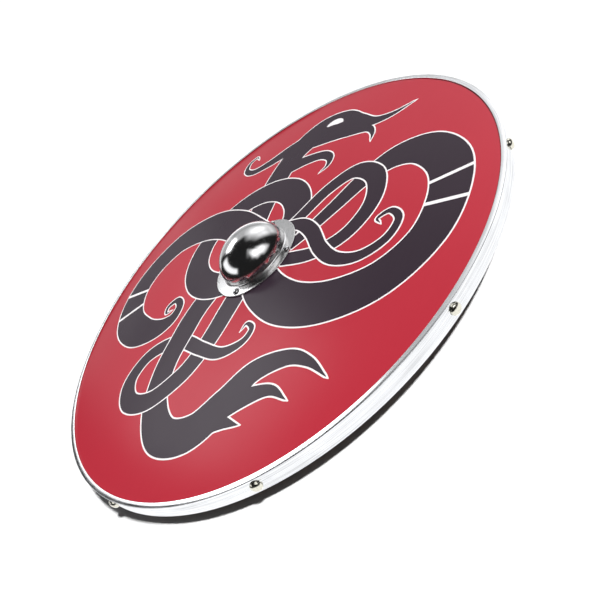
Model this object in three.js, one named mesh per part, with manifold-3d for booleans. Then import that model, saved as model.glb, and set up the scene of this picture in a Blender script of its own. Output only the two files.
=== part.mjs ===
// Round wooden shield: a flat board in a polished metal channel, with a domed steel boss riveted
// over a hand hole and a wooden grip across the back. Millimetres, +Z up. It lies on its back with
// the painted face up, and the origin is on the resting surface, under the middle of the grip.

import * as THREE from "three";
import { mergeVertices } from "three/addons/utils/BufferGeometryUtils.js";
import Module from "manifold-3d";

const wasm = await Module();
wasm.setup();

// Driving dimensions of the board and its rim
const SHIELD_DIAMETER = 610;
const BOARD_THICKNESS = 14;
const BOARD_EDGE_BREAK = 0.8;
const RIM_SHEET = 1.2;
const RIM_LIP = 5.5;
const RIM_CORNER = 1.4;

// Domed studs that hold the rim. They are set by eye, so two of them sit off an even spacing:
// the shifts are in facets of the rim, by the stud's index.
const STUD_COUNT = 9;
const STUD_SHIFTS = { 0: -1, 6: 1 };
const STUD_HEAD_DIAMETER = 11;
const STUD_HEAD_HEIGHT = 3.6;
const STUD_SHANK_DIAMETER = 3;
const STUD_SHANK_LENGTH = 14;

// Boss: a dome with a flat flange, spun from one steel sheet
const DOME_DIAMETER = 89;
const DOME_HEIGHT = 38;
const DOME_SKIRT = 6;
const BOSS_SHEET = 2;
const BOSS_FILLET = 2.4;
const FLANGE_WIDTH = 14.5;

// Rivets through the flange: a domed head in front and a flat clenched tail behind
const RIVET_COUNT = 4;
const RIVET_HEAD_DIAMETER = 8.5;
const RIVET_HEAD_HEIGHT = 2.6;
const RIVET_SHANK_DIAMETER = 4;
const RIVET_TAIL_DIAMETER = 8;
const RIVET_TAIL_HEIGHT = 1.6;

// Wooden grip: a straight bar, thick in the middle and thinner at its two riveted ends
const GRIP_WIDTH = 27;
const GRIP_THICKNESS = 18;
const GRIP_END_THICKNESS = 9;
const GRIP_END_MARGIN = 20;
const GRIP_SHOULDER = 14;
const GRIP_TAIL_ROOM = 3;
const GRIP_EDGE = 4;

// Clearances
const FIT_GAP = 0.3;
const HOLE_CLEARANCE = 0.3;
const HAND_HOLE_SETBACK = 0.5;

// Facets
const FACETS_PER_STUD = 10;
const BOSS_SIDES = 60;
const STUD_SIDES = 12;
const SHANK_SIDES = 8;
const DOME_STEPS = 10;

// Sizes that follow from the driving dimensions
const rimSides = STUD_COUNT * FACETS_PER_STUD;
const rimRadius = SHIELD_DIAMETER / 2;
const boardRadius = rimRadius - RIM_SHEET - FIT_GAP;
const boardBack = GRIP_THICKNESS + FIT_GAP;
const boardFace = boardBack + BOARD_THICKNESS;
const rimBack = boardBack - FIT_GAP - RIM_SHEET;
const rimFace = boardFace + FIT_GAP + RIM_SHEET;
const rimFlat = rimRadius * Math.cos(Math.PI / rimSides);
const domeRadius = DOME_DIAMETER / 2;
const flangeRadius = domeRadius + FLANGE_WIDTH;
const handHoleRadius = domeRadius - BOSS_SHEET - HAND_HOLE_SETBACK;
const rivetCircle = (domeRadius + BOSS_FILLET + flangeRadius) / 2;
const flangeBack = boardFace + FIT_GAP;
const flangeFace = flangeBack + BOSS_SHEET;
const gripLength = 2 * (rivetCircle + GRIP_END_MARGIN);

const paintedWood = new THREE.MeshStandardMaterial({ color: 0xbe3c48, roughness: 0.35, metalness: 0 });
const polishedRim = new THREE.MeshStandardMaterial({ color: 0xe4e6ea, roughness: 0.2, metalness: 1 });
const polishedSteel = new THREE.MeshStandardMaterial({ color: 0xc2c3c6, roughness: 0.08, metalness: 1 });
const nickel = new THREE.MeshStandardMaterial({ color: 0xcfc9b4, roughness: 0.18, metalness: 1 });
const darkWood = new THREE.MeshStandardMaterial({ color: 0x4a3024, roughness: 0.6, metalness: 0 });

const shield = new THREE.Group();
shield.name = "round_shield";

// Turns a list of [radius, height] pairs about Z. The list runs anticlockwise seen with the axis
// at its left, so that the faces point out.
function turned(profile, sides) {
  const points = profile.map(([radius, height]) => new THREE.Vector2(radius, height));
  const geometry = new THREE.LatheGeometry(points, sides);
  geometry.rotateX(Math.PI / 2);
  return geometry;
}

// The points of an arc about (x, y), from one angle to another in degrees.
function arc(x, y, radius, from, to, steps) {
  const points = [];
  for (let i = 0; i <= steps; i += 1) {
    const angle = THREE.MathUtils.degToRad(from + ((to - from) * i) / steps);
    points.push([x + radius * Math.cos(angle), y + radius * Math.sin(angle)]);
  }
  return points;
}

// A geometry as a solid for cutting, with its shared vertices merged.
function solidOf(geometry) {
  const bare = geometry.clone();
  bare.deleteAttribute("normal");
  bare.deleteAttribute("uv");
  const merged = mergeVertices(bare, 1e-4);
  return new wasm.Manifold(
    new wasm.Mesh({
      numProp: 3,
      vertProperties: merged.attributes.position.array,
      triVerts: new Uint32Array(merged.index.array),
    }),
  );
}

// A cut solid back as a geometry.
function geometryOf(solid) {
  const mesh = solid.getMesh();
  const geometry = new THREE.BufferGeometry();
  geometry.setAttribute("position", new THREE.BufferAttribute(mesh.vertProperties, 3));
  geometry.setIndex(new THREE.BufferAttribute(mesh.triVerts, 1));
  geometry.computeVertexNormals();
  return geometry;
}

// Takes every drill away from a blank.
function drilled(blank, drills) {
  const solid = drills.reduce((left, drill) => left.subtract(solidOf(drill)), solidOf(blank));
  return geometryOf(solid);
}

function addPiece(name, geometry, material) {
  const mesh = new THREE.Mesh(geometry, material);
  mesh.name = name;
  shield.add(mesh);
  return mesh;
}

// Each stud sits in the middle of a rim facet.
function studAngle(index) {
  const facets = FACETS_PER_STUD * (index + 0.5) + (STUD_SHIFTS[index] ?? 0);
  return (2 * Math.PI * facets) / rimSides;
}

function rivetAngle(index) {
  return (2 * Math.PI * index) / RIVET_COUNT;
}

// Only the rivets on the X axis pass through the grip.
function heldByRivet(index) {
  return index % (RIVET_COUNT / 2) === 0;
}

// A drill along the radius at a stud, from outside the rim to past the end of its shank.
function studDrill(index) {
  const length = STUD_SHANK_LENGTH + 2 * RIM_SHEET;
  const radius = STUD_SHANK_DIAMETER / 2 + HOLE_CLEARANCE;
  const drill = new THREE.CylinderGeometry(radius, radius, length, SHANK_SIDES);
  drill.rotateZ(-Math.PI / 2);
  drill.translate(rimFlat + RIM_SHEET - length / 2 + FIT_GAP, 0, (boardFace + boardBack) / 2);
  drill.rotateZ(studAngle(index));
  return drill;
}

// A drill along Z at a rivet, right through the grip, the board and the flange.
function rivetDrill(index) {
  const length = 2 * (flangeFace + BOSS_SHEET);
  const radius = RIVET_SHANK_DIAMETER / 2 + HOLE_CLEARANCE;
  const drill = new THREE.CylinderGeometry(radius, radius, length, SHANK_SIDES);
  drill.rotateX(Math.PI / 2);
  drill.translate(rivetCircle, 0, 0);
  drill.rotateZ(rivetAngle(index));
  return drill;
}

const studDrills = Array.from({ length: STUD_COUNT }, (_, index) => studDrill(index));
const rivetDrills = Array.from({ length: RIVET_COUNT }, (_, index) => rivetDrill(index));

// Board: a flat disc with its edges broken, a round hand hole, and the holes of studs and rivets
function makeBoard() {
  const profile = [
    [handHoleRadius, boardBack],
    [boardRadius - BOARD_EDGE_BREAK, boardBack],
    [boardRadius, boardBack + BOARD_EDGE_BREAK],
    [boardRadius, boardFace - BOARD_EDGE_BREAK],
    [boardRadius - BOARD_EDGE_BREAK, boardFace],
    [handHoleRadius, boardFace],
    [handHoleRadius, boardBack],
  ];
  const blank = turned(profile, rimSides);
  addPiece("board", drilled(blank, [...studDrills, ...rivetDrills]), paintedWood);
}

// Rim: a channel of bent sheet that holds the board's edge between two lips
function makeRim() {
  const lipRadius = rimRadius - RIM_LIP;
  const inside = rimRadius - RIM_SHEET;
  const profile = [
    [lipRadius, rimBack],
    ...arc(rimRadius - RIM_CORNER, rimBack + RIM_CORNER, RIM_CORNER, -90, 0, 2),
    ...arc(rimRadius - RIM_CORNER, rimFace - RIM_CORNER, RIM_CORNER, 0, 90, 2),
    [lipRadius, rimFace],
    [lipRadius, rimFace - RIM_SHEET],
    [inside, rimFace - RIM_SHEET],
    [inside, rimBack + RIM_SHEET],
    [lipRadius, rimBack + RIM_SHEET],
    [lipRadius, rimBack],
  ];
  addPiece("rim", drilled(turned(profile, rimSides), studDrills), polishedRim);
}

// A round domed head on a straight shank, turned about Z with the underside of its head at zero
function pinProfile(headDiameter, headHeight, shankDiameter, shankLength, tail) {
  const headRadius = headDiameter / 2;
  const shankRadius = shankDiameter / 2;
  const foot = tail || [[shankRadius, -shankLength]];
  const crown = [];
  for (let i = 0; i <= 4; i += 1) {
    const angle = (Math.PI / 2) * (i / 4);
    crown.push([headRadius * Math.cos(angle), headHeight * Math.sin(angle)]);
  }
  crown[crown.length - 1][0] = 0;
  return [[0, foot[0][1]], ...foot, [shankRadius, 0], ...crown];
}

// Rim studs: one in the middle of a rim facet at each place, its shank through the rim into the board
function makeStuds() {
  const profile = pinProfile(
    STUD_HEAD_DIAMETER,
    STUD_HEAD_HEIGHT,
    STUD_SHANK_DIAMETER,
    STUD_SHANK_LENGTH,
  );
  for (let index = 0; index < STUD_COUNT; index += 1) {
    const geometry = turned(profile, STUD_SIDES);
    geometry.rotateY(Math.PI / 2);
    const place = new THREE.Group();
    const stud = addPiece(`rim_stud_${index + 1}`, geometry, nickel);
    place.rotation.z = studAngle(index);
    stud.position.set(rimFlat + FIT_GAP, 0, (boardFace + boardBack) / 2);
    place.add(stud);
    shield.add(place);
  }
}

// Boss: dome and flange of one sheet, open below for the hand
function makeBoss() {
  const rise = DOME_HEIGHT - DOME_SKIRT;
  const skirtTop = boardFace + DOME_SKIRT;
  const innerRadius = domeRadius - BOSS_SHEET;
  const outside = [];
  const inside = [];
  for (let i = 0; i <= DOME_STEPS; i += 1) {
    const angle = (Math.PI / 2) * (i / DOME_STEPS);
    outside.push([domeRadius * Math.cos(angle), skirtTop + rise * Math.sin(angle)]);
    inside.unshift([innerRadius * Math.cos(angle), skirtTop + (rise - BOSS_SHEET) * Math.sin(angle)]);
  }
  outside[outside.length - 1][0] = 0;
  inside[0][0] = 0;
  const filletX = domeRadius + BOSS_FILLET;
  const filletZ = flangeFace + BOSS_FILLET;
  const profile = [
    ...inside,
    [innerRadius, flangeBack],
    [flangeRadius, flangeBack],
    [flangeRadius, flangeFace],
    ...arc(filletX, filletZ, BOSS_FILLET, 270, 180, 3),
    ...outside,
  ];
  addPiece("boss", drilled(turned(profile, BOSS_SIDES), rivetDrills), polishedSteel);
}

// Boss rivets: a long one at each end of the grip, and two short ones through the board alone
function makeRivets() {
  const shankRadius = RIVET_SHANK_DIAMETER / 2;
  const tailRadius = RIVET_TAIL_DIAMETER / 2;
  for (let index = 0; index < RIVET_COUNT; index += 1) {
    const held = heldByRivet(index);
    const clamped = held ? boardBack - FIT_GAP - GRIP_END_THICKNESS : boardBack;
    const underHead = flangeFace + FIT_GAP;
    const tailTop = clamped - FIT_GAP - underHead;
    const tail = [
      [tailRadius, tailTop - RIVET_TAIL_HEIGHT],
      [tailRadius, tailTop],
      [shankRadius, tailTop],
    ];
    const profile = pinProfile(
      RIVET_HEAD_DIAMETER,
      RIVET_HEAD_HEIGHT,
      RIVET_SHANK_DIAMETER,
      0,
      tail,
    );
    const rivet = addPiece(`boss_rivet_${index + 1}`, turned(profile, STUD_SIDES), polishedSteel);
    const angle = rivetAngle(index);
    rivet.position.set(rivetCircle * Math.cos(angle), rivetCircle * Math.sin(angle), underHead);
  }
}

// Grip: a bar whose side outline is thin at both ends and thick in the middle, with rounded edges
function makeGrip() {
  const halfLength = gripLength / 2;
  const top = GRIP_THICKNESS - GRIP_EDGE;
  const endBottom = GRIP_THICKNESS - GRIP_END_THICKNESS + GRIP_EDGE;
  const shoulder = rivetCircle - RIVET_TAIL_DIAMETER / 2 - GRIP_TAIL_ROOM;
  const hand = shoulder - GRIP_SHOULDER;
  const bend = GRIP_SHOULDER / 2;
  const outline = new THREE.Shape();
  outline.moveTo(-halfLength + GRIP_EDGE, top);
  outline.lineTo(-halfLength + GRIP_EDGE, endBottom);
  outline.lineTo(-shoulder, endBottom);
  outline.bezierCurveTo(-shoulder + bend, endBottom, -hand - bend, GRIP_EDGE, -hand, GRIP_EDGE);
  outline.lineTo(hand, GRIP_EDGE);
  outline.bezierCurveTo(hand + bend, GRIP_EDGE, shoulder - bend, endBottom, shoulder, endBottom);
  outline.lineTo(halfLength - GRIP_EDGE, endBottom);
  outline.lineTo(halfLength - GRIP_EDGE, top);
  outline.closePath();
  const blank = new THREE.ExtrudeGeometry(outline, {
    depth: GRIP_WIDTH - 2 * GRIP_EDGE,
    curveSegments: 5,
    bevelThickness: GRIP_EDGE,
    bevelSize: GRIP_EDGE,
    bevelSegments: 3,
  });
  blank.translate(0, 0, GRIP_EDGE - GRIP_WIDTH / 2);
  blank.rotateX(Math.PI / 2);
  const drills = rivetDrills.filter((_, index) => heldByRivet(index));
  addPiece("grip", drilled(blank, drills), darkWood);
}

makeBoard();
makeRim();
makeStuds();
makeBoss();
makeRivets();
makeGrip();

export default shield;
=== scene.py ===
"""Wooden round shield lying on a pale studio floor.

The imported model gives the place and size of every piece. This script makes the fine surface and the
finish of each one, the painted serpent on the board, and a plain studio. Lengths are in metres, apart
from names that end in _mm.
"""

import logging
import math
from collections.abc import Mapping, Sequence
from dataclasses import dataclass
from enum import Enum, IntEnum
from functools import cache
from typing import Any

import bmesh
import bpy
import numpy as np
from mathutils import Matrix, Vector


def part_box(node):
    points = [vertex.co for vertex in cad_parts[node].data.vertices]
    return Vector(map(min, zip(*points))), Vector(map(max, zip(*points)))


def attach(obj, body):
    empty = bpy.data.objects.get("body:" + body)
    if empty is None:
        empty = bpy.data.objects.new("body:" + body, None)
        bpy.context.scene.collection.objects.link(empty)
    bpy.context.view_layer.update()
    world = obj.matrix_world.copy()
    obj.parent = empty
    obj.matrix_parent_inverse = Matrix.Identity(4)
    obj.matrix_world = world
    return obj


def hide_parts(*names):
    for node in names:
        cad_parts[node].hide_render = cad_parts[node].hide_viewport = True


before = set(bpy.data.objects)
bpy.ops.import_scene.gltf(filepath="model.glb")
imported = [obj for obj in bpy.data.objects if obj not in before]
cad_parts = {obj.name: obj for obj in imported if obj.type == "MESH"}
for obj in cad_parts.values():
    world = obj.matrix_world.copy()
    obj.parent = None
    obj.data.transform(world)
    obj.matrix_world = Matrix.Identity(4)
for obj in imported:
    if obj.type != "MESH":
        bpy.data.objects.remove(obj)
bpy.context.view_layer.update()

LOG = logging.getLogger("round_shield")
MM = 0.001
BODY = "root"
Colour = tuple[float, float, float]


class Layer(Enum):
    """What a coat of the picture is painted with, and how far up its level that coat ends."""

    LINE = 0.25
    SERPENT = 0.6
    MARK = 0.8


class Station(IntEnum):
    """Columns of a strap's stations after the place: width, and level over the other straps."""

    WIDTH = 2
    LEVEL = 3


class Wire:
    """One shader socket. Arithmetic on it adds Math nodes."""

    def __init__(self, tree: "Tree", socket: bpy.types.NodeSocket) -> None:
        """Keeps the socket and the tree it belongs to."""
        self.tree = tree
        self.socket = socket

    def maths(self, operation: str, *values: "Wire | float") -> "Wire":
        """Adds a Math node.

        Args:
            operation: the node's operation.
            values: its inputs, in order.

        Returns:
            The node's value.
        """
        return self.tree.node("ShaderNodeMath", {"operation": operation}, dict(enumerate(values)))

    def __add__(self, other: "Wire | float") -> "Wire":
        """This plus other."""
        return self.maths("ADD", self, other)

    def __sub__(self, other: "Wire | float") -> "Wire":
        """This minus other."""
        return self.maths("SUBTRACT", self, other)

    def __mul__(self, other: "Wire | float") -> "Wire":
        """This times other."""
        return self.maths("MULTIPLY", self, other)

    def __rmul__(self, other: float) -> "Wire":
        """Other times this."""
        return self.maths("MULTIPLY", other, self)


class Tree:
    """The node tree of one new material or world."""

    def __init__(self, owner: bpy.types.Material | bpy.types.World) -> None:
        """Empties the owner's tree."""
        self.owner = owner
        owner.use_nodes = True
        self.nodes = owner.node_tree.nodes
        self.links = owner.node_tree.links
        self.nodes.clear()

    @classmethod
    def of_material(cls, name: str) -> "Tree":
        """A tree in a new material of that name."""
        return cls(bpy.data.materials.new(name))

    def node(
        self,
        kind: str,
        settings: Mapping[str, Any] | None = None,
        inputs: Mapping[int | str, Any] | None = None,
        output: int | str = 0,
    ) -> Wire:
        """Adds any node.

        Args:
            kind: the node's type.
            settings: its properties, set first.
            inputs: values or wires, by socket name or number.
            output: which output is wanted.

        Returns:
            The wanted output.
        """
        made = self.nodes.new(kind)
        for name, value in (settings or {}).items():
            setattr(made, name, value)
        for key, value in (inputs or {}).items():
            if isinstance(value, Wire):
                self.links.new(value.socket, made.inputs[key])
            else:
                made.inputs[key].default_value = value
        return Wire(self, made.outputs[output])

    def place(self) -> Wire:
        """The point in the piece's own coordinates, which are the shield's."""
        return self.node("ShaderNodeTexCoord", output="Object")

    def scaled(self, scale: Sequence[float]) -> Wire:
        """The point with each axis multiplied."""
        return self.node("ShaderNodeMapping", inputs={"Vector": self.place(), "Scale": tuple(scale)})

    def noise(self, vector: Wire, scale: float, detail: float, distortion: float = 0.0) -> Wire:
        """Noise from 0 to 1 about a middle of 0.5."""
        return self.node(
            "ShaderNodeTexNoise",
            inputs={"Vector": vector, "Scale": scale, "Detail": detail, "Distortion": distortion},
        )

    def spread(self, value: Wire, low: float, high: float, to_low: float, to_high: float) -> Wire:
        """Maps a value from one range to another, and clamps it."""
        return self.node(
            "ShaderNodeMapRange",
            {"clamp": True},
            {"Value": value, 1: low, 2: high, 3: to_low, 4: to_high},
        )

    def mix(self, share: Wire | float, first: Any, second: Any) -> Wire:
        """Blends two colours by a share from 0 to 1."""
        first, second = ((*c, 1.0) if isinstance(c, tuple) else c for c in (first, second))
        return self.node(
            "ShaderNodeMix",
            {"data_type": "RGBA"},
            {0: share, 6: first, 7: second},
            output=2,
        )

    def bump(self, height: Wire, distance: float, strength: float) -> Wire:
        """A bumped normal from a height between 0 and 1."""
        return self.node(
            "ShaderNodeBump",
            inputs={"Height": height, "Distance": distance, "Strength": strength},
        )

    def split(self, vector: Wire) -> tuple[Wire, ...]:
        """The three values of a vector."""
        return tuple(
            self.node("ShaderNodeSeparateXYZ", inputs={"Vector": vector}, output=name) for name in "XYZ"
        )

    def polar(self) -> tuple[Wire, Wire, Wire]:
        """The point's distance from the shield's axis, its angle about it, and its height."""
        x, y, z = self.split(self.place())
        squared = x * x + y * y
        return squared.maths("SQRT", squared), x.maths("ARCTAN2", y, x), z

    def joined(self, x: Wire | float, y: Wire | float, z: Wire | float) -> Wire:
        """A vector of three values."""
        return self.node("ShaderNodeCombineXYZ", inputs={"X": x, "Y": y, "Z": z})

    def end(self, shader: Wire, kind: str = "ShaderNodeOutputMaterial") -> bpy.types.ID:
        """Ends the tree in one shader, and returns its material or world."""
        output = self.nodes.new(kind)
        self.links.new(shader.socket, output.inputs["Surface"])
        return self.owner

    def principled(self, inputs: Mapping[str, Any]) -> bpy.types.Material:
        """Ends the tree in one Principled shader.

        Args:
            inputs: its values or wires by socket name.

        Returns:
            The finished material.
        """
        values = {k: (*v, 1.0) if isinstance(v, tuple) and len(v) == 3 else v for k, v in inputs.items()}
        return self.end(self.node("ShaderNodeBsdfPrincipled", inputs=values))


@dataclass(frozen=True)
class SatinPaint:
    """Brushed-out enamel on smooth wood: even colour, a faint mottle and a fine orange peel."""

    name: str
    colour: Colour
    worn: Colour
    roughness: float = 0.2
    shine: float = 0.09
    peel: float = 0.02 * MM
    mottle: float = 0.35
    mottle_scale: float = 9.0
    peel_scale: float = 900.0
    grain_stretch: tuple[float, ...] = (60.0, 3.0, 60.0)

    @cache
    def material(self) -> bpy.types.Material:
        """Builds the paint.

        Returns:
            The material.
        """
        tree = Tree.of_material(self.name)
        broad = tree.noise(tree.place(), self.mottle_scale, 3.0)
        fine = tree.noise(tree.place(), self.peel_scale, 2.0)
        grain = tree.noise(tree.scaled(self.grain_stretch), 6.0, 4.0, 0.6)
        share = tree.spread(broad + 0.35 * grain, 0.45, 0.95, 0.0, self.mottle)
        colour = tree.mix(share, self.colour, self.worn)
        rough = tree.spread(broad, 0.3, 0.7, self.roughness - 0.03, self.roughness + 0.04)
        height = fine * 0.5 + grain * 0.5
        return tree.principled(
            {
                "Base Color": colour,
                "Roughness": rough,
                "Specular IOR Level": self.shine,
                "Normal": tree.bump(height, self.peel, 0.6),
            }
        )


@dataclass(frozen=True)
class StainedWood:
    """Dark stained wood with its grain along X."""

    name: str
    dark: Colour
    light: Colour
    roughness: float = 0.5
    relief: float = 0.12 * MM
    band_stretch: tuple[float, ...] = (2.0, 22.0, 22.0)
    fibre_stretch: tuple[float, ...] = (14.0, 420.0, 420.0)
    pore_stretch: tuple[float, ...] = (40.0, 900.0, 900.0)

    @cache
    def material(self) -> bpy.types.Material:
        """Builds the wood: broad bands, fibres and open pores drawn out along the grain.

        Returns:
            The material.
        """
        tree = Tree.of_material(self.name)
        bands = tree.noise(tree.scaled(self.band_stretch), 2.4, 4.0, 1.2)
        fibres = tree.noise(tree.scaled(self.fibre_stretch), 2.0, 4.0, 0.3)
        pores = tree.noise(tree.scaled(self.pore_stretch), 2.2, 1.0)
        pore = tree.spread(pores, 0.62, 0.72, 0.0, 1.0)
        tone = tree.spread(bands * 0.65 + fibres * 0.35, 0.36, 0.62, 0.0, 1.0)
        wood = tree.mix(tone, self.dark, self.light)
        colour = tree.mix(pore * 0.55, wood, tuple(0.35 * c for c in self.dark))
        return tree.principled(
            {
                "Base Color": colour,
                "Roughness": tree.spread(fibres, 0.3, 0.7, self.roughness - 0.06, self.roughness + 0.08),
                "Normal": tree.bump(fibres * 0.6 - pore * 0.5, self.relief, 0.7),
            }
        )


@dataclass(frozen=True)
class DrawnMetal:
    """Polished channel with fine lines drawn along it, round the shield."""

    name: str
    colour: Colour
    roughness: float
    line_density: float = 2600.0
    band_density: float = 700.0
    relief: float = 0.01 * MM

    @cache
    def material(self) -> bpy.types.Material:
        """Builds the metal: noise stretched round the axis, so that its lines run along the rim.

        Returns:
            The material.
        """
        tree = Tree.of_material(self.name)
        radius, angle, height = tree.polar()
        fine, coarse = self.line_density, self.band_density
        lines = tree.noise(tree.joined(radius * fine, angle * 3.0, height * fine), 1.0, 3.0)
        bands = tree.noise(tree.joined(radius * coarse, angle * 5.0, height * coarse), 1.0, 2.0)
        smudges = tree.noise(tree.place(), 22.0, 3.0, 0.8)
        rough = tree.spread(lines, 0.3, 0.7, self.roughness - 0.05, self.roughness + 0.07)
        darker = tuple(0.74 * c for c in self.colour)
        tone = tree.spread(lines * 0.35 + bands * 0.4 + smudges * 0.25, 0.38, 0.56, 0.0, 1.0)
        return tree.principled(
            {
                "Base Color": tree.mix(tone, darker, self.colour),
                "Metallic": 1.0,
                "Roughness": rough + tree.spread(smudges, 0.45, 0.75, 0.0, 0.06),
                "Normal": tree.bump(lines, self.relief, 0.5),
            }
        )


@dataclass(frozen=True)
class SpunSteel:
    """Mirror-polished steel with faint turning marks, a few wiped smudges and a duller foot."""

    name: str
    colour: Colour
    roughness: float
    smudge: float = 0.09
    foot_haze: float = 0.15
    foot_height: float = 14.0 * MM
    ring_density: float = 1500.0
    relief: float = 0.004 * MM

    @cache
    def material(self) -> bpy.types.Material:
        """Builds the steel: rings about the shield's axis from noise that changes with the radius.

        Returns:
            The material.
        """
        tree = Tree.of_material(self.name)
        radius, _, height = tree.polar()
        fine = self.ring_density
        rings = tree.noise(tree.joined(radius * fine, height * fine, 0.0), 1.0, 2.0)
        smudges = tree.noise(tree.place(), 45.0, 4.0, 1.2)
        wiped = tree.spread(smudges, 0.5, 0.75, 0.0, self.smudge)
        rough = tree.spread(rings, 0.3, 0.7, self.roughness - 0.01, self.roughness + 0.02)
        foot = tree.spread(height, FACE_HEIGHT, FACE_HEIGHT + self.foot_height, self.foot_haze, 0.0)
        dull = tuple(0.9 * c for c in self.colour)
        return tree.principled(
            {
                "Base Color": tree.mix(tree.spread(smudges, 0.4, 0.7, 0.0, 1.0), self.colour, dull),
                "Metallic": 1.0,
                "Roughness": rough + wiped + foot,
                "Normal": tree.bump(rings, self.relief, 0.35),
            }
        )


@dataclass(frozen=True)
class PlatedPin:
    """Bright plated metal of a small pin, a little uneven."""

    name: str
    colour: Colour
    roughness: float = 0.1
    spot_scale: float = 600.0
    relief: float = 0.03 * MM

    @cache
    def material(self) -> bpy.types.Material:
        """Builds the plating.

        Returns:
            The material.
        """
        tree = Tree.of_material(self.name)
        spots = tree.noise(tree.place(), self.spot_scale, 3.0, 0.5)
        dull = tuple(0.7 * c for c in self.colour)
        return tree.principled(
            {
                "Base Color": tree.mix(tree.spread(spots, 0.5, 0.75, 0.0, 0.6), self.colour, dull),
                "Metallic": 1.0,
                "Roughness": tree.spread(spots, 0.35, 0.7, self.roughness, self.roughness + 0.14),
                "Normal": tree.bump(spots, self.relief, 0.4),
            }
        )


RED_PAINT = SatinPaint("red_paint", (0.42, 0.0275, 0.044), (0.37, 0.0225, 0.037))
CHARCOAL_PAINT = SatinPaint("charcoal_paint", (0.029, 0.018, 0.027), (0.036, 0.025, 0.034))
WHITE_PAINT = SatinPaint("white_paint", (0.86, 0.82, 0.83), (0.80, 0.75, 0.76), mottle=0.2)
BACK_STAIN = StainedWood("stained_back", (0.030, 0.014, 0.009), (0.085, 0.040, 0.022))
GRIP_WOOD = StainedWood("grip_wood", (0.060, 0.026, 0.012), (0.17, 0.080, 0.038), roughness=0.42)
RIM_METAL = DrawnMetal("polished_rim", (0.93, 0.935, 0.94), 0.14)
BOSS_STEEL = SpunSteel("boss_steel", (0.74, 0.735, 0.73), 0.11)
RIVET_STEEL = PlatedPin("rivet_steel", (0.66, 0.66, 0.66))
STUD_NICKEL = PlatedPin("stud_nickel", (0.80, 0.77, 0.66))


def new_piece(
    name: str,
    vertices: np.ndarray,
    faces: Sequence[Sequence[int]],
    materials: Sequence[bpy.types.Material],
    sharp_degrees: float = 35.0,
) -> bpy.types.Object:
    """Makes a mesh object at the origin, with doubles merged and faces pointing out.

    Args:
        name: the object's name.
        vertices: an array of n by 3 places.
        faces: lists of vertex numbers.
        materials: the object's materials, the first on every face.
        sharp_degrees: edges steeper than this stay sharp.

    Returns:
        The new object.
    """
    mesh = bpy.data.meshes.new(name)
    mesh.from_pydata(vertices.tolist(), [], [list(face) for face in faces])
    form = bmesh.new()
    form.from_mesh(mesh)
    bmesh.ops.remove_doubles(form, verts=form.verts, dist=1e-7)
    bmesh.ops.recalc_face_normals(form, faces=form.faces)
    form.to_mesh(mesh)
    form.free()
    mesh.polygons.foreach_set("use_smooth", np.ones(len(mesh.polygons), dtype=bool))
    mesh.set_sharp_from_angle(angle=math.radians(sharp_degrees))
    for material in materials:
        mesh.materials.append(material)
    piece = bpy.data.objects.new(name, mesh)
    bpy.context.scene.collection.objects.link(piece)
    return piece


def grid_faces(rows: int, columns: int, wrap_rows: bool, wrap_columns: bool) -> np.ndarray:
    """Quads of a grid of vertices numbered row by row.

    Args:
        rows: how many rows of vertices.
        columns: how many vertices in a row.
        wrap_rows: whether the last row joins the first.
        wrap_columns: whether each row is a ring.

    Returns:
        An array of n by 4 vertex numbers.
    """
    i = np.arange(rows if wrap_rows else rows - 1)[:, None]
    j = np.arange(columns if wrap_columns else columns - 1)[None, :]
    below, beside = (i + 1) % rows, (j + 1) % columns
    corners = (i * columns + j, i * columns + beside, below * columns + beside, below * columns + j)
    return np.stack([np.broadcast_to(c, (i.size, j.size)) for c in corners], axis=-1).reshape(-1, 4)


def turned(profile: np.ndarray, sides: int, closed: bool) -> tuple[np.ndarray, np.ndarray]:
    """Turns a profile of radius and height about Z.

    A point is (radius cos t, radius sin t, height), with t in equal steps round the axis.

    Args:
        profile: an array of n by 2, radius and height in order round the section.
        sides: steps round the axis.
        closed: whether the section's last point joins its first.

    Returns:
        The vertices and the faces.
    """
    angle = np.linspace(0.0, 2.0 * np.pi, sides, endpoint=False)
    ring = np.stack([np.cos(angle), np.sin(angle)], axis=-1)
    flat = profile[:, None, :1] * ring[None]
    height = np.broadcast_to(profile[:, None, 1:], (len(profile), sides, 1))
    vertices = np.concatenate([flat, height], axis=-1).reshape(-1, 3)
    return vertices, grid_faces(len(profile), sides, closed, True)


def arc(x: float, y: float, radius: float, start: float, end: float, steps: int = 6) -> np.ndarray:
    """Points of an arc about (x, y) from one angle to another in degrees, n by 2."""
    angle = np.radians(np.linspace(start, end, steps + 1))
    return np.stack([x + radius * np.cos(angle), y + radius * np.sin(angle)], axis=-1)


def extent(node: str) -> tuple[np.ndarray, np.ndarray]:
    """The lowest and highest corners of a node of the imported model."""
    low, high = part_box(node)
    return np.array(low), np.array(high)


FACE_HEIGHT = float(extent("board")[1][2])
RIM_RADIUS = float(extent("rim")[1][1])


def settle(piece: bpy.types.Object, slot: str, *nodes: str) -> None:
    """Puts a piece on the body, hides the nodes that it stands for, and logs its face count."""
    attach(piece, BODY)
    if nodes:
        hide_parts(*nodes)
    LOG.info("%s: %d faces", piece.name, len(piece.data.polygons))


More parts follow.
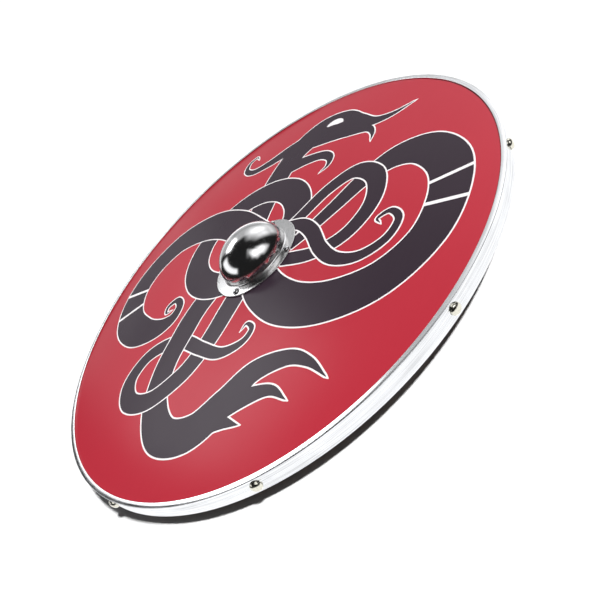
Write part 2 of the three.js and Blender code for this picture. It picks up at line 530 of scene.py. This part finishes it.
@dataclass
class Board:
    """The flat wooden board, painted in front and stained behind."""

    sides: int = 288
    edge: float = 0.8 * MM
    hole_edge: float = 1.6 * MM
    hole_radius: float = 42.0 * MM

    def profile(self) -> np.ndarray:
        """The section: a bar with a quarter round on each corner."""
        low, high = extent("board")
        radius, back, face = float(high[1]), float(low[2]), float(high[2])
        inner, outer = self.hole_radius + self.hole_edge, radius - self.edge
        return np.concatenate(
            [
                arc(outer, back + self.edge, self.edge, -90, 0),
                arc(outer, face - self.edge, self.edge, 0, 90),
                arc(inner, face - self.hole_edge, self.hole_edge, 90, 180),
                arc(inner, back + self.hole_edge, self.hole_edge, 180, 270),
            ]
        )

    def build(self) -> None:
        """Makes the board and paints its front."""
        vertices, faces = turned(self.profile(), self.sides, closed=True)
        board = new_piece("painted_board", vertices, faces, [BACK_STAIN.material(), RED_PAINT.material()])
        count = len(board.data.polygons)
        middles = np.empty(count * 3)
        board.data.polygons.foreach_get("center", middles)
        front = middles[2::3] > FACE_HEIGHT - self.edge
        board.data.polygons.foreach_set("material_index", front.astype(np.int32))
        settle(board, "painted_board", "board")


@dataclass
class Rim:
    """The metal channel round the board's edge."""

    sides: int = 360
    sheet: float = 1.2 * MM
    lip: float = 5.5 * MM
    corner: float = 0.5 * MM
    lip_edge: float = 0.4 * MM
    groove_depth: float = 0.24 * MM
    groove_width: float = 0.55 * MM
    groove_shares: tuple[float, ...] = (0.27, 0.5, 0.73)
    wall_points: int = 56

    def band(self, radius: float, low: float, high: float) -> np.ndarray:
        """The outer wall: a straight line with shallow round grooves.

        The radius falls by the groove's depth times exp(-(distance / width) squared).
        """
        height = np.linspace(low, high, self.wall_points)
        drop = sum(
            np.exp(-(((height - (low + share * (high - low))) / self.groove_width) ** 2))
            for share in self.groove_shares
        )
        return np.stack([radius - self.groove_depth * drop, height], axis=-1)

    def profile(self) -> np.ndarray:
        """The section of the channel, from the back lip round the outside to the front lip."""
        low, high = extent("rim")
        radius = float(high[0])
        back, face = float(low[2]), float(high[2])
        lip, inside, c, e = radius - self.lip, radius - self.sheet, self.corner, self.lip_edge
        return np.concatenate(
            [
                arc(lip + e, back + e, e, 180, 270, 4),
                arc(radius - c, back + c, c, -90, 0),
                self.band(radius, back + c, face - c)[1:-1],
                arc(radius - c, face - c, c, 0, 90),
                arc(lip + e, face - e, e, 90, 180, 4),
                np.array([[lip, face - self.sheet], [inside, face - self.sheet]]),
                np.array([[inside, back + self.sheet], [lip, back + self.sheet]]),
            ]
        )

    def build(self) -> None:
        """Makes the rim."""
        vertices, faces = turned(self.profile(), self.sides, closed=True)
        rim = new_piece("polished_rim", vertices, faces, [RIM_METAL.material()], sharp_degrees=50.0)
        settle(rim, "polished_rim", "rim")


@dataclass
class Boss:
    """The hollow dome and its flat flange, of one sheet."""

    sides: int = 192
    steps: int = 48
    sheet: float = 2.0 * MM
    fillet: float = 2.4 * MM
    skirt: float = 6.0 * MM
    dome_radius: float = 44.5 * MM
    flange_edge: float = 0.8 * MM
    under_edge: float = 0.2 * MM

    def quarter(self, radius: float, foot: float, rise: float) -> np.ndarray:
        """A quarter ellipse from its foot to the axis: (radius cos t, foot + rise sin t)."""
        angle = np.linspace(0.0, np.pi / 2.0, self.steps + 1)
        points = np.stack([radius * np.cos(angle), foot + rise * np.sin(angle)], axis=-1)
        points[-1, 0] = 0.0
        return points

    def profile(self) -> np.ndarray:
        """The section: inner dome, underside, flange edge, fillet and outer dome."""
        low, high = extent("boss")
        flange, back = float(high[0]), float(low[2])
        face = back + self.sheet
        foot = FACE_HEIGHT + self.skirt
        rise = float(high[2]) - foot
        inner = self.dome_radius - self.sheet
        f, e, u = self.fillet, self.flange_edge, self.under_edge
        return np.concatenate(
            [
                self.quarter(inner, foot, rise - self.sheet)[::-1],
                np.array([[inner, back]]),
                np.array([[flange - u, back], [flange, back + u]]),
                arc(flange - e, face - e, e, 0, 90, 5),
                arc(self.dome_radius + f, face + f, f, 270, 180, 10),
                self.quarter(self.dome_radius, foot, rise),
            ]
        )

    def build(self) -> None:
        """Makes the boss."""
        vertices, faces = turned(self.profile(), self.sides, closed=False)
        boss = new_piece("steel_boss", vertices, faces, [BOSS_STEEL.material()], sharp_degrees=50.0)
        settle(boss, "polished_steel", "boss")


@dataclass(frozen=True)
class Pin:
    """A domed head on a shank, along +Z from the underside of the head."""

    head_radius: float
    head_height: float
    shank_radius: float
    shank_length: float
    tail_radius: float = 0.0
    tail_height: float = 0.0
    brim_share: float = 0.12
    dome_steps: int = 12
    sides: int = 48

    def profile(self) -> np.ndarray:
        """The section from the foot to the crown, which is a quarter ellipse over a short rim."""
        angle = np.linspace(0.0, np.pi / 2.0, self.dome_steps + 1)
        brim = self.brim_share * self.head_height
        dome = np.stack(
            [self.head_radius * np.cos(angle), brim + (self.head_height - brim) * np.sin(angle)], axis=-1
        )
        dome[-1, 0] = 0.0
        foot = -self.shank_length
        tail = [[self.shank_radius, foot]]
        if self.tail_radius:
            soft = 0.3 * self.tail_height
            tail = [
                [self.tail_radius - soft, foot],
                [self.tail_radius, foot + soft],
                [self.tail_radius, foot + self.tail_height],
                [self.shank_radius, foot + self.tail_height],
            ]
        head = [[self.shank_radius, 0.0], [self.head_radius, 0.0]]
        return np.concatenate([[[0.0, foot]], tail, head, dome])

    def build(self, name: str, axis: np.ndarray, seat: np.ndarray, finish: PlatedPin) -> bpy.types.Object:
        """Makes the pin with its head's underside at a seat.

        Args:
            name: the piece's name.
            axis: a unit vector out of the head's crown.
            seat: the middle of the head's underside.
            finish: its finish.

        Returns:
            The pin.
        """
        vertices, faces = turned(self.profile(), self.sides, closed=False)
        helper = np.array([0.0, 0.0, 1.0]) if abs(axis[2]) < 0.9 else np.array([1.0, 0.0, 0.0])
        side = np.cross(helper, axis)
        side /= np.linalg.norm(side)
        placed = vertices @ np.stack([side, np.cross(axis, side), axis]) + seat
        return new_piece(name, placed, faces, [finish.material()], sharp_degrees=40.0)


@dataclass
class Fasteners:
    """The studs round the rim and the rivets round the boss."""

    stud_head_height: float = 3.6 * MM
    stud_shank_radius: float = 1.5 * MM
    stud_shank_length: float = 14.0 * MM
    stud_inset: float = 0.1 * MM
    facet_angle: float = math.radians(4.0)
    rivet_head_height: float = 2.6 * MM
    rivet_shank_radius: float = 2.0 * MM
    rivet_tail_radius: float = 4.0 * MM
    rivet_tail_height: float = 1.6 * MM

    def nodes(self, start: str) -> list[str]:
        """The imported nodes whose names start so, in order."""
        return sorted(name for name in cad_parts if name.startswith(start))

    def build_studs(self) -> None:
        """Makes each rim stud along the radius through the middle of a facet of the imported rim.

        The stud that reaches furthest along -X lies on that axis, and gives the height of the crowns.
        """
        names = self.nodes("rim_stud_")
        middle_height = float(np.mean([extent(name)[0][2] + extent(name)[1][2] for name in names])) / 2.0
        head_radius = float(max(np.ptp(np.stack(extent(name)), axis=0)[2] for name in names)) / 2.0
        crown = float(max(-extent(name)[0][0] for name in names))
        seat_radius = crown - self.stud_head_height - self.stud_inset
        pin = Pin(head_radius, self.stud_head_height, self.stud_shank_radius, self.stud_shank_length)
        for name in names:
            low, high = extent(name)
            angle = math.atan2(*((low + high)[1::-1]))
            angle = round(angle / self.facet_angle) * self.facet_angle
            axis = np.array([math.cos(angle), math.sin(angle), 0.0])
            seat = axis * seat_radius + np.array([0.0, 0.0, middle_height])
            stud = pin.build("plated_" + name, axis, seat, STUD_NICKEL)
            settle(stud, "stud_metal", name)

    def build_rivets(self) -> None:
        """Makes each boss rivet over the middle of its node."""
        for name in self.nodes("boss_rivet_"):
            low, high = extent(name)
            centre = (low + high) / 2.0
            seat_height = float(high[2]) - self.rivet_head_height
            pin = Pin(
                float(high[0] - low[0]) / 2.0,
                self.rivet_head_height,
                self.rivet_shank_radius,
                seat_height - float(low[2]),
                self.rivet_tail_radius,
                self.rivet_tail_height,
            )
            seat = np.array([centre[0], centre[1], seat_height])
            rivet = pin.build("domed_" + name, np.array([0.0, 0.0, 1.0]), seat, RIVET_STEEL)
            settle(rivet, "rivet_steel", name)


@dataclass
class Grip:
    """The wooden bar across the hand hole."""

    edge: float = 4.0 * MM
    end_thickness: float = 9.0 * MM
    hand_half_length: float = 28.0 * MM
    shoulder: float = 18.0 * MM
    stations: int = 161
    crowding: float = 1.6
    corner_steps: int = 6

    def build(self) -> None:
        """Makes the grip as rounded sections along X, crowded towards its ends.

        The underside rises from the hand part to the ends by a smooth step, 3s^2 - 2s^3, and each
        section draws in near an end by edge minus the root of edge^2 minus (edge - distance)^2.
        """
        low, high = extent("grip")
        half_length, half_width, top = float(high[0]), float(high[1]), float(high[2])
        share = np.linspace(-1.0, 1.0, self.stations)
        x = half_length * np.sign(share) * (1.0 - (1.0 - np.abs(share)) ** self.crowding)
        step = np.clip((np.abs(x) - self.hand_half_length) / self.shoulder, 0.0, 1.0)
        under = low[2] + (top - self.end_thickness - low[2]) * step**2 * (3.0 - 2.0 * step)
        away = np.clip(half_length - np.abs(x), 0.0, self.edge)
        inset = self.edge - np.sqrt(np.maximum(self.edge**2 - (self.edge - away) ** 2, 0.0))
        width, upper, lower = half_width - inset, top - inset, under + inset
        quarter = np.linspace(0.0, np.pi / 2.0, self.corner_steps + 1)
        angle = np.concatenate([quarter + k * np.pi / 2.0 for k in range(4)])
        side = np.repeat([1.0, -1.0, -1.0, 1.0], self.corner_steps + 1)
        rise = np.repeat([1.0, 1.0, -1.0, -1.0], self.corner_steps + 1)
        round_off = np.maximum(self.edge - inset, 1e-5)[:, None]
        y = side * (width[:, None] - round_off) + round_off * np.cos(angle)
        middle, half = ((upper + lower) / 2.0)[:, None], ((upper - lower) / 2.0)[:, None]
        z = middle + rise * (half - round_off) + round_off * np.sin(angle)
        vertices = np.stack([np.broadcast_to(x[:, None], y.shape), y, z], axis=-1).reshape(-1, 3)
        columns = y.shape[1]
        faces = grid_faces(self.stations, columns, False, True).tolist()
        last = (self.stations - 1) * columns
        faces += [list(range(columns)), list(range(last + columns - 1, last - 1, -1))]
        grip = new_piece("wooden_grip", vertices, faces, [GRIP_WOOD.material()], sharp_degrees=60.0)
        settle(grip, "dark_wood", "grip")


@dataclass(frozen=True)
class Strap:
    """One painted strap of the serpent.

    Each station gives a place on its centre line, the strap's width there, and its level: where two
    straps cross, the one with the higher level lies over the other, and straps of one level join.
    All are millimetres on a shield 610 mm across.
    """

    stations: tuple[tuple[float, float, float, float], ...]
    closed: bool = False
    stripes: tuple[tuple[float, float], ...] = ()
    mark: bool = False


SERPENT: dict[str, Strap] = {
    "ring": Strap(
        tuple(
            (-48 + 84 * math.cos(a), 46 + 80 * math.sin(a), 40, 1) for a in np.radians(np.arange(0, 360, 30))
        ),
        closed=True,
    ),
    "neck": Strap(
        (
            (-38, 40, 44, 0), (-44, 84, 44, 0), (-46, 128, 45, 0), (-44, 168, 46, 0), (-32, 204, 52, 0),
            (-6, 230, 56, 0), (30, 234, 45, 0), (64, 219, 29, 0), (94, 205, 17, 0), (124, 204, 9, 0),
            (154, 214, 0.5, 0),
        )
    ),
    "jaw": Strap(
        (
            (0, 214, 34, 0), (36, 208, 26, 0), (68, 200, 18, 0), (93, 192, 11, 0), (104, 179, 6, 0),
            (107, 164, 0.5, 0),
        )
    ),
    "throat": Strap(
        (
            (-30, 168, 26, 0), (2, 171, 19, 0), (28, 169, 15, 0), (45, 158, 11, 0), (48, 143, 6, 0),
            (40, 133, 0.5, 0),
        )
    ),
    "crest": Strap(
        (
            (-14, 222, 34, 0), (-54, 214, 25, 0), (-90, 199, 17, 0), (-120, 192, 12, 0), (-141, 201, 9, 0),
            (-145, 219, 6, 0), (-134, 229, 3, 0), (-126, 222, 0.5, 0),
        )
    ),
    "eye": Strap(
        (
            (4, 237, 0.5, 0), (7, 238, 7, 0), (13, 240, 11, 0), (21, 240, 12, 0), (29, 237, 9, 0),
            (35, 233, 0.5, 0),
        ),
        mark=True,
    ),
    "left_coil": Strap(
        (
            (0, 24, 46, 2), (-44, 52, 48, 2), (-94, 78, 51, 2), (-150, 88, 54, 2), (-206, 72, 50, 1),
            (-240, 26, 46, 1), (-243, -26, 46, 1), (-217, -71, 48, 1), (-174, -93, 46, 1), (-136, -93, 34, 1),
            (-112, -79, 22, 1), (-110, -58, 13, 1), (-124, -47, 9, 1), (-136, -56, 6, 1), (-132, -67, 3, 1),
            (-124, -64, 0.5, 1),
        ),
        stripes=((-243, -20), (-232, -56)),
    ),
    "right_coil": Strap(
        (
            (10, -20, 48, 1), (48, -56, 50, 1), (96, -80, 53, 1), (150, -84, 53, 1), (204, -66, 50, 1),
            (240, -24, 46, 1), (248, 28, 45, 1), (236, 76, 46, 1), (202, 110, 45, 1), (162, 114, 40, 1),
            (128, 92, 32, 1), (98, 56, 25, 1), (66, 20, 20, 1), (34, -8, 18, 1),
        ),
        stripes=((243, 56), (248, 20)),
    ),
    "thin_loop": Strap(
        (
            (24, 20, 22, 2), (48, 58, 22, 2), (74, 92, 23, 2), (108, 110, 24, 2), (142, 90, 24, 2),
            (154, 48, 23, 2), (138, 8, 22, 2), (104, -12, 20, 2), (66, -14, 19, 2), (30, -8, 18, 2),
        ),
        closed=True,
    ),
    "right_tendril": Strap(
        (
            (24, 44, 16, 3), (54, 40, 17, 3), (80, 22, 18, 3), (106, -8, 17, 3), (134, -28, 16, 3),
            (166, -32, 14, 3), (193, -16, 12, 3), (200, 9, 9, 3), (186, 24, 7, 3), (172, 17, 4, 3),
            (178, 9, 0.5, 3),
        )
    ),
    "left_leg": Strap(
        (
            (-40, -10, 38, 0), (-58, -50, 40, 0), (-65, -76, 40, 0), (-66, -100, 40, 1), (-64, -150, 37, 1),
            (-44, -198, 36, 1), (-4, -232, 40, 1), (40, -228, 44, 1), (70, -196, 42, 1), (92, -162, 30, 1),
            (130, -147, 19, 1), (160, -152, 10, 1), (188, -168, 0.5, 1),
        )
    ),
    "right_leg": Strap(
        (
            (4, -20, 34, 0), (-2, -70, 33, 0), (-6, -110, 31, 0), (-13, -140, 29, 0), (-27, -166, 28, 1.5),
            (-60, -194, 26, 1.5), (-98, -196, 24, 1.5), (-122, -170, 23, 1.5), (-116, -137, 22, 0.5),
            (-88, -119, 20, 0.5), (-52, -117, 18, 0.5), (-14, -128, 16, 0.5), (24, -136, 14, 0.5),
            (52, -125, 10, 0.5), (58, -108, 7, 0.5), (46, -100, 4, 0.5), (42, -108, 0.5, 0.5),
        )
    ),
    "tail_fin": Strap(((60, -206, 36, 1), (94, -190, 23, 1), (126, -181, 12, 1), (152, -190, 0.5, 1))),
    "tail_heel": Strap(((36, -228, 36, 1), (72, -216, 20, 1), (106, -216, 0.5, 1))),
}


@dataclass
class Picture:
    """The serpent painted on the board as thin coats: white lines under charcoal straps."""

    design_radius_mm: float = 305.0
    line_mm: float = 1.8
    stripe_mm: float = 4.6
    step_mm: float = 0.08
    pitch_mm: float = 1.6
    sunk_mm: float = 0.04
    least_width_mm: float = 0.3
    open_end_mm: float = 0.2
    end_reach: float = 2.2
    lift_share: float = 0.02
    stripe_lift: float = 0.5
    curve_steps: int = 24

    def smooth(self, strap: Strap) -> np.ndarray:
        """A strap's stations joined by a Catmull-Rom curve, in even steps of length.

        Between stations b and c, with neighbours a and d, a point at share u is
        half of (2b + (c - a)u + (2a - 5b + 4c - d)u^2 + (3b - 3c + d - a)u^3).

        Args:
            strap: the strap.

        Returns:
            An array of n by 4: place, width and level.
        """
        stations = np.array(strap.stations, dtype=float)
        if strap.closed:
            padded = np.concatenate([stations[-1:], stations, stations[:2]])
        else:
            before, after = 2 * stations[:1] - stations[1:2], 2 * stations[-1:] - stations[-2:-1]
            padded = np.concatenate([before, stations, after])
        a, b, c, d = (padded[k : len(padded) - 3 + k, None] for k in range(4))
        u = np.linspace(0.0, 1.0, self.curve_steps, endpoint=False)[None, :, None]
        square, cube = 2 * a - 5 * b + 4 * c - d, 3 * b - 3 * c + d - a
        curve = 0.5 * (2 * b + (c - a) * u + square * u**2 + cube * u**3)
        level = Station.LEVEL
        ease = u[..., 0] ** 2 * (3 - 2 * u[..., 0])
        curve[..., level] = b[..., level] + (c[..., level] - b[..., level]) * ease
        points = curve.reshape(-1, 4)
        end = points[:1] if strap.closed else stations[-1:]
        points = np.concatenate([points, end])
        steps = np.linalg.norm(np.diff(points[:, :2], axis=0), axis=1)
        length = np.concatenate([[0.0], np.cumsum(steps)])
        count = max(8, int(length[-1] / self.pitch_mm))
        even = np.linspace(0.0, length[-1], count + 1)
        made = np.stack([np.interp(even, length, points[:, k]) for k in range(4)], axis=-1)
        made[:, Station.WIDTH] = np.maximum(made[:, Station.WIDTH], self.least_width_mm)
        return made[:-1] if strap.closed else made

    def normals(self, line: np.ndarray, closed: bool) -> np.ndarray:
        """Unit vectors across a centre line, to its left."""
        if closed:
            run = np.roll(line, -1, axis=0) - np.roll(line, 1, axis=0)
        else:
            run = np.gradient(line, axis=0)
        run /= np.linalg.norm(run, axis=1, keepdims=True)
        return np.stack([-run[:, 1], run[:, 0]], axis=-1)

    def coat(
        self, line: np.ndarray, closed: bool, extra: float, layer: Layer, lift: float = 0.0
    ) -> tuple[np.ndarray, np.ndarray]:
        """One coat of a strap as a thin closed solid.

        Each station has four corners, at half the width to either side, from just inside the board to
        the coat's height: level plus the layer's share, times the step.

        Args:
            line: stations in even steps.
            closed: whether the strap is a loop.
            extra: how far the coat spreads past the strap on each side and at open ends, in mm.
            layer: which coat it is.
            lift: a small share of a level that keeps straps of one level from lying in one plane.

        Returns:
            The vertices in metres and the faces.
        """
        centre = line[:, :2].copy()
        across = self.normals(centre, closed)
        if not closed and extra:
            for end, inner in ((0, 1), (-1, -2)):
                run = centre[end] - centre[inner]
                centre[end] += run / np.linalg.norm(run) * extra * self.end_reach
        half = (line[:, Station.WIDTH] / 2 + extra)[:, None]
        if not closed and extra:
            half[[0, -1]] = line[[0, -1], Station.WIDTH][:, None] / 2 + self.open_end_mm
        top = (line[:, Station.LEVEL] + layer.value + lift) * self.step_mm
        low = np.full_like(top, -self.sunk_mm)
        left, right = centre + across * half, centre - across * half
        corners = [(left, low), (left, top), (right, top), (right, low)]
        scale = self.scale()
        rows = np.stack([np.column_stack([xy * scale, z * MM + FACE_HEIGHT]) for xy, z in corners], axis=1)
        faces = grid_faces(len(rows), 4, closed, True).tolist()
        if not closed:
            last = 4 * (len(rows) - 1)
            faces += [[0, 1, 2, 3], [last + 3, last + 2, last + 1, last]]
        return rows.reshape(-1, 3), faces

    def scale(self) -> float:
        """Metres on this shield for one millimetre of the design."""
        return RIM_RADIUS / self.design_radius_mm

    def stripe(self, line: np.ndarray, place: tuple[float, float]) -> tuple[np.ndarray, np.ndarray]:
        """A straight white stripe across a strap, at the point of its centre line nearest a place."""
        index = int(np.argmin(np.linalg.norm(line[:, :2] - place, axis=1)))
        across = self.normals(line[:, :2], False)[index]
        half = line[index, Station.WIDTH] / 2 + self.line_mm / 2
        middle = line[index, :2]
        ends = np.array([middle + across * half, middle - across * half])
        level = np.full((2, 1), line[index, Station.LEVEL])
        bar = np.concatenate([ends, np.full((2, 1), self.stripe_mm), level], axis=1)
        return self.coat(bar, False, 0.0, Layer.MARK, self.stripe_lift)

    def merged(
        self, name: str, parts: Sequence[tuple[np.ndarray, Sequence]], finish: SatinPaint, slot: str
    ) -> None:
        """Joins coats of one paint into one piece.

        Args:
            name: the piece's name.
            parts: vertices and faces of each coat.
            finish: the paint.
            slot: the name of a material slot; not used.
        """
        start = 0
        faces: list[list[int]] = []
        for vertices, own in parts:
            faces += [[start + k for k in face] for face in own]
            start += len(vertices)
        vertices = np.concatenate([vertices for vertices, _ in parts])
        piece = new_piece(name, vertices, faces, [finish.material()], sharp_degrees=20.0)
        settle(piece, slot)

    def build(self) -> None:
        """Paints the lines, the straps and the marks."""
        lines, straps, marks = [], [], []
        for index, strap in enumerate(SERPENT.values()):
            lift = index * self.lift_share
            line = self.smooth(strap)
            if strap.mark:
                marks.append(self.coat(line, strap.closed, 0.0, Layer.MARK, lift))
                continue
            lines.append(self.coat(line, strap.closed, self.line_mm, Layer.LINE, lift))
            straps.append(self.coat(line, strap.closed, 0.0, Layer.SERPENT, lift))
            marks += [self.stripe(line, place) for place in strap.stripes]
        self.merged("serpent_lines", lines, WHITE_PAINT, "white_paint")
        self.merged("serpent_straps", straps, CHARCOAL_PAINT, "charcoal_paint")
        self.merged("serpent_marks", marks, WHITE_PAINT, "white_paint")


@dataclass(frozen=True)
class Panel:
    """A soft-edged bright patch of the room, in degrees, seen from the shield."""

    azimuth: float
    half_width: float
    low: float
    high: float
    glow: float
    soft: float = 6.0

    def light(self, tree: Tree, azimuth: Wire, elevation: Wire) -> Wire:
        """The patch's light: full inside its edges and fading to nothing over the soft width.

        Args:
            tree: the world's tree.
            azimuth: the direction's azimuth in degrees, from -180 to 180.
            elevation: the direction's elevation in degrees.

        Returns:
            The light that it adds.
        """
        away = azimuth.maths("PINGPONG", azimuth - self.azimuth, 180.0)
        across = tree.spread(away, self.half_width, self.half_width + self.soft, 1.0, 0.0)
        over = tree.spread(elevation, self.low - self.soft, self.low, 0.0, 1.0)
        under = tree.spread(elevation, self.high, self.high + self.soft, 1.0, 0.0)
        return across * over * under * self.glow


@dataclass
class Studio:
    """The floor, the lights, the surroundings and the camera."""

    floor_half: float = 30.0
    camera_azimuth: float = 324.6
    camera_elevation: float = 25.9
    camera_distance: float = 0.7083
    camera_pan: float = 0.14
    camera_tilt: float = -5.82
    camera_roll: float = -44.82
    focal_pixels: float = 597.7
    picture_pixels: float = 600.0
    sensor_mm: float = 36.0
    key_azimuth: float = 8.0
    key_elevation: float = 51.0
    key_strength: float = 4.9
    key_spread: float = 5.0
    backdrop_glow: float = 1.1
    backdrop_sides: int = 64
    room_colour: Colour = (0.98, 0.99, 1.01)
    room_share: float = 0.15
    panels: tuple[Panel, ...] = (
        # Faint light all round, the pale floor and the low backdrop behind the shield
        Panel(0.0, 180.0, -90.0, 90.0, 0.016),
        Panel(0.0, 180.0, -90.0, -10.0, 1.12),
        Panel(144.0, 30.0, -90.0, 4.0, 0.8, 3.0),
        # Soft lights above the camera's side, mirrored in the dome
        Panel(320.0, 20.0, 76.0, 90.0, 0.35, 20.0),
        Panel(336.0, 16.0, 54.0, 70.0, 1.0, 12.0),
        Panel(352.0, 20.0, 42.0, 60.0, 1.1, 12.0),
        Panel(8.0, 12.0, 30.0, 48.0, 1.0, 11.0),
        # Lights behind the shield, mirrored in the paint and the rim's lip
        Panel(158.0, 9.0, 31.0, 40.0, 4.2, 5.0),
        Panel(157.0, 8.0, 6.0, 26.0, 0.5, 5.0),
        Panel(120.0, 23.0, 25.0, 44.0, 0.56, 8.0),
        # Lights at the sides, mirrored in the dome and the rim
        Panel(212.0, 28.0, 20.0, 31.0, 1.35, 7.0),
        Panel(94.0, 18.0, 38.0, 50.0, 1.1, 20.0),
        Panel(110.0, 32.0, -10.0, 14.0, 0.55, 10.0),
        Panel(88.0, 14.0, 16.0, 30.0, 0.55, 14.0),
    )

    def floor(self) -> None:
        """A wide pale floor just under the shield."""
        h = self.floor_half
        corners = np.array([[-h, -h, 0.0], [h, -h, 0.0], [h, h, 0.0], [-h, h, 0.0]])
        tree = Tree.of_material("studio_floor")
        grain = tree.noise(tree.place(), 300.0, 2.0)
        colour = tree.mix(grain, (0.88, 0.88, 0.885), (0.92, 0.92, 0.925))
        material = tree.principled({"Base Color": colour, "Roughness": 0.6, "Specular IOR Level": 0.2})
        floor = new_piece("studio_floor", corners, [(0, 1, 2, 3)], [material])
        floor.visible_glossy = False

    def backdrop(self) -> None:
        """A pale dome far round the shield, which only the camera sees.

        Its section is a quarter circle, (radius cos t, radius sin t), turned about Z.
        """
        tree = Tree.of_material("studio_backdrop")
        glow = tree.node("ShaderNodeEmission", inputs={"Strength": self.backdrop_glow})
        section = arc(0.0, 0.0, self.floor_half, -5.0, 89.0, 24)
        vertices, faces = turned(section, self.backdrop_sides, closed=False)
        dome = new_piece("studio_backdrop", vertices, faces, [tree.end(glow)])
        dome.visible_diffuse = dome.visible_glossy = dome.visible_shadow = dome.visible_transmission = False

    def direction(self, azimuth: float, elevation: float) -> np.ndarray:
        """The unit vector towards an azimuth from +X and an elevation, in degrees."""
        a, e = math.radians(azimuth), math.radians(elevation)
        return np.array([math.cos(a) * math.cos(e), math.sin(a) * math.cos(e), math.sin(e)])

    def key_light(self) -> None:
        """A broad even light with soft shadows, which leaves no glare on polished metal."""
        data = bpy.data.lights.new("broad_light", "SUN")
        data.energy = self.key_strength
        data.angle = math.radians(self.key_spread)
        lamp = bpy.data.objects.new("broad_light", data)
        bpy.context.scene.collection.objects.link(lamp)
        target, place = np.zeros(3), self.direction(self.key_azimuth, self.key_elevation)
        aim = Vector(tuple(target - place))
        lamp.rotation_euler = aim.to_track_quat("-Z", "Y").to_euler()
        lamp.visible_glossy = False

    def surroundings(self) -> None:
        """The room, as soft panels by azimuth and elevation over a faint even light.

        Polished surfaces mirror all of it, and matt ones are lit by only a share of it.
        """
        world = bpy.data.worlds.new("studio_world")
        bpy.context.scene.world = world
        tree = Tree(world)
        toward = tree.node("ShaderNodeTexCoord", output="Generated")
        x, y, z = tree.split(toward)
        turn = 180.0 / math.pi
        azimuth, elevation = x.maths("ARCTAN2", y, x) * turn, z.maths("ARCSINE", z) * turn
        glow = 0.0
        for panel in self.panels:
            glow = panel.light(tree, azimuth, elevation) + glow
        bounces = tree.node("ShaderNodeLightPath", output="Diffuse Depth")
        glow = glow * tree.spread(bounces, 0.0, 1.0, 1.0, self.room_share)
        colour = (*self.room_colour, 1.0)
        background = tree.node("ShaderNodeBackground", inputs={"Color": colour, "Strength": glow})
        tree.end(background, "ShaderNodeOutputWorld")

    def camera(self) -> None:
        """The camera at the photograph's place: aimed at the face, then panned, tilted and rolled."""
        data = bpy.data.cameras.new("camera")
        data.sensor_width = self.sensor_mm
        data.lens = self.focal_pixels / self.picture_pixels * self.sensor_mm
        data.clip_start = 0.01
        centre = np.array([0.0, 0.0, FACE_HEIGHT])
        away = self.direction(self.camera_azimuth, self.camera_elevation)
        forward = -away
        right = np.cross(forward, [0.0, 0.0, 1.0])
        right /= np.linalg.norm(right)
        up = np.cross(right, forward)
        aim = forward + math.tan(math.radians(self.camera_pan)) * right
        aim = aim + math.tan(math.radians(self.camera_tilt)) * up
        aim /= np.linalg.norm(aim)
        right = np.cross(aim, up)
        right /= np.linalg.norm(right)
        up = np.cross(right, aim)
        roll = math.radians(self.camera_roll)
        across = math.cos(roll) * right + math.sin(roll) * up
        upright = -math.sin(roll) * right + math.cos(roll) * up
        camera = bpy.data.objects.new("camera", data)
        bpy.context.scene.collection.objects.link(camera)
        matrix = Matrix(np.column_stack([across, upright, -aim]).tolist())
        place = Matrix.Translation(tuple(centre + away * self.camera_distance))
        camera.matrix_world = place @ matrix.to_4x4()
        bpy.context.scene.camera = camera

    def build(self) -> None:
        """Sets up the studio."""
        bpy.context.scene.view_settings.view_transform = "Standard"
        self.floor()
        self.backdrop()
        self.surroundings()
        self.key_light()
        self.camera()


def main() -> None:
    """Builds the shield and the studio."""
    logging.basicConfig(level=logging.INFO, format="%(name)s: %(message)s")
    Board().build()
    Rim().build()
    Boss().build()
    fasteners = Fasteners()
    fasteners.build_studs()
    fasteners.build_rivets()
    Grip().build()
    Picture().build()
    Studio().build()


if __name__ == "__main__":
    main()
